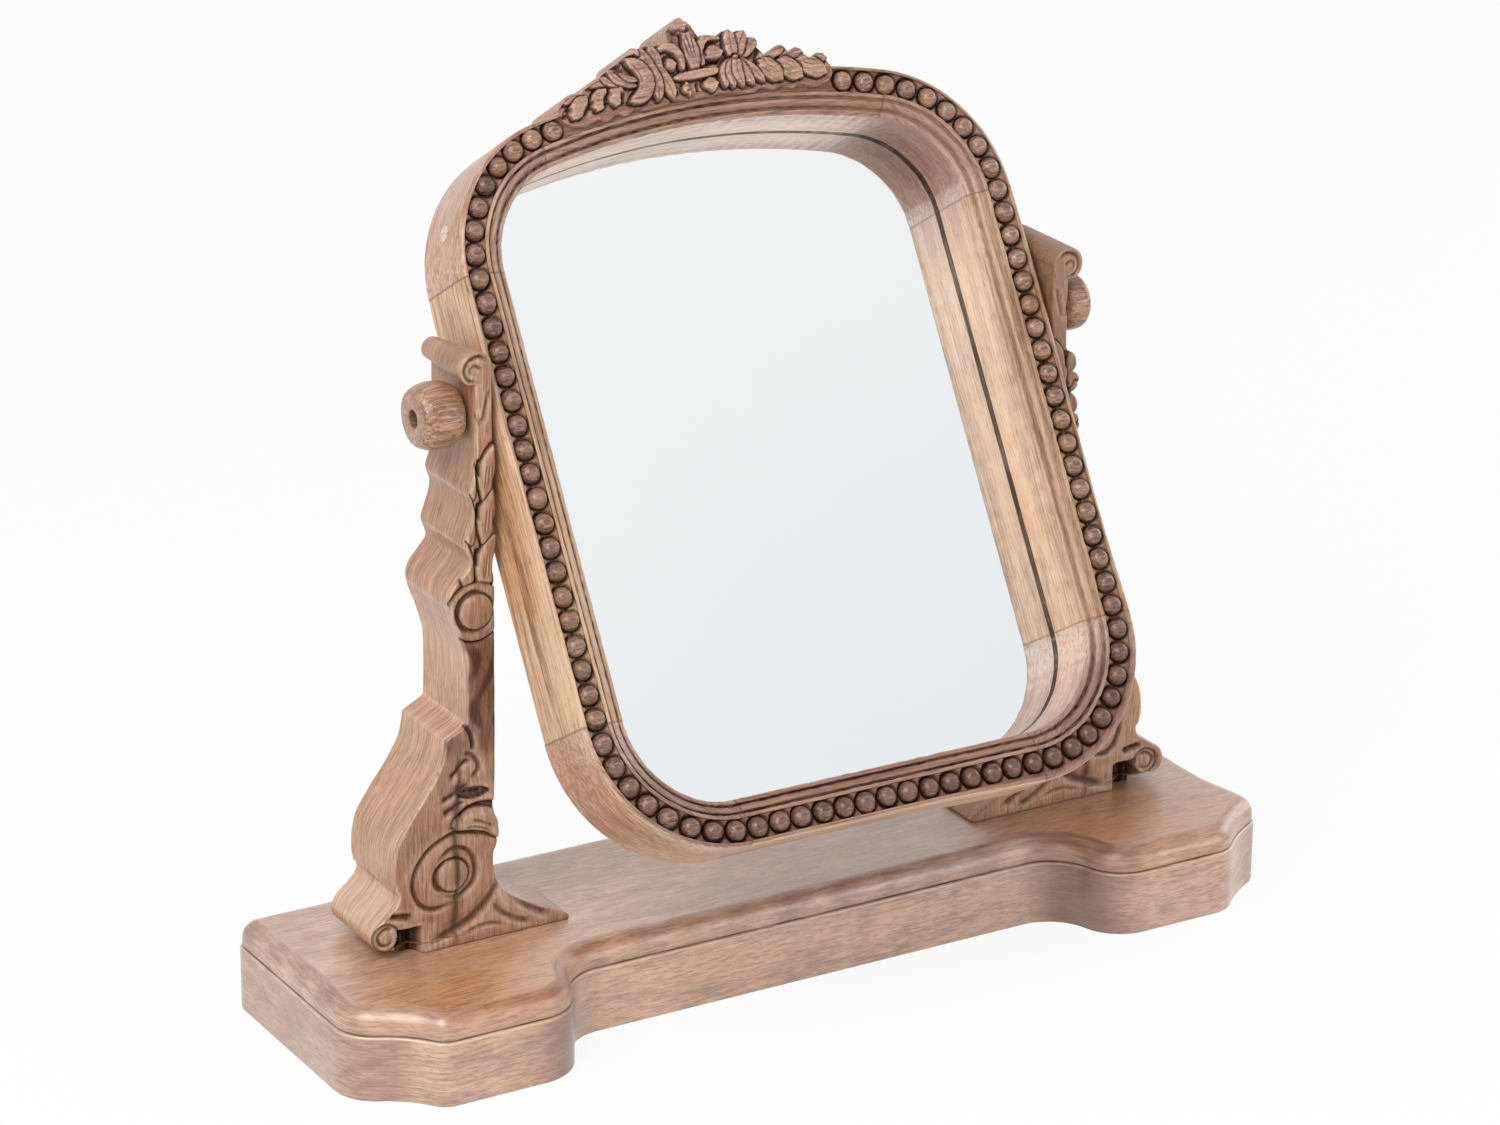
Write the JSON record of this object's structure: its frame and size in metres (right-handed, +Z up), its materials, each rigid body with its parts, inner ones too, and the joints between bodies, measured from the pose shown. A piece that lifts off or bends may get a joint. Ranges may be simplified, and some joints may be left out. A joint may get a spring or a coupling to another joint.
{
  "type": "table mirror",
  "caption": "Free-standing table mirror: arched beaded wooden frame that tilts between two carved scroll posts on a shaped base board, clamped by turned knobs.",
  "frame": {"origin": "middle of the base board's underside, on the surface that it stands on", "axes": "+X to the viewer's right along the pivot line, +Y to the back, +Z up"},
  "size_m": [0.604, 0.2736, 0.5423],
  "materials": {
    "base_wood": "washed, waxed hardwood",
    "post_wood": "washed, carved hardwood",
    "frame_wood": "washed, waxed hardwood",
    "carved_wood": "carved, dark in the hollows",
    "bead_wood": "carved, dark in the hollows",
    "knob_wood": "turned hardwood",
    "dowel_wood": "plain hardwood",
    "panel_wood": "thin plywood",
    "mirror": "silvered glass",
    "steel": "plain steel",
    "brass": "plain brass",
    "leather": "dark leather"
  },
  "bodies": {
    "base": {"base_board": "base_wood", "left_post": "post_wood", "right_post": "post_wood", "post_screws": "steel", "left_friction_washer": "leather", "left_knob_washer": "steel", "right_friction_washer": "leather", "right_knob_washer": "steel"},
    "mirror": {"left_stile": "frame_wood", "right_stile": "frame_wood", "top_rail": "frame_wood", "bottom_rail": "frame_wood", "top_left_corner": "frame_wood", "top_right_corner": "frame_wood", "bottom_left_corner": "frame_wood", "bottom_right_corner": "frame_wood", "pearl_beading": "bead_wood", "crest": "carved_wood", "mirror_glass": "mirror", "back_panel": "panel_wood", "back_panel_screws": "steel", "corner_dowels": "dowel_wood", "crest_dowels": "dowel_wood", "corner_plugs": "dowel_wood", "left_insert": "brass", "right_insert": "brass"},
    "left_knob": {"left_knob": "knob_wood", "left_pivot_bolt": "steel"},
    "right_knob": {"right_knob": "knob_wood", "right_pivot_bolt": "steel"}
  },
  "joints": [
    {"name": "mirror_tilt", "type": "hinge", "parent": "base", "child": "mirror", "pos_m": [0, 0.01375, 0.363], "axis": [1, 0, 0], "continuous": true},
    {"name": "left_knob_turn", "type": "hinge", "parent": "base", "child": "left_knob", "pos_m": [-0.207, 0.01375, 0.363], "axis": [1, 0, 0], "continuous": true},
    {"name": "right_knob_turn", "type": "hinge", "parent": "base", "child": "right_knob", "pos_m": [0.207, 0.01375, 0.363], "axis": [1, 0, 0], "continuous": true}
  ]
}
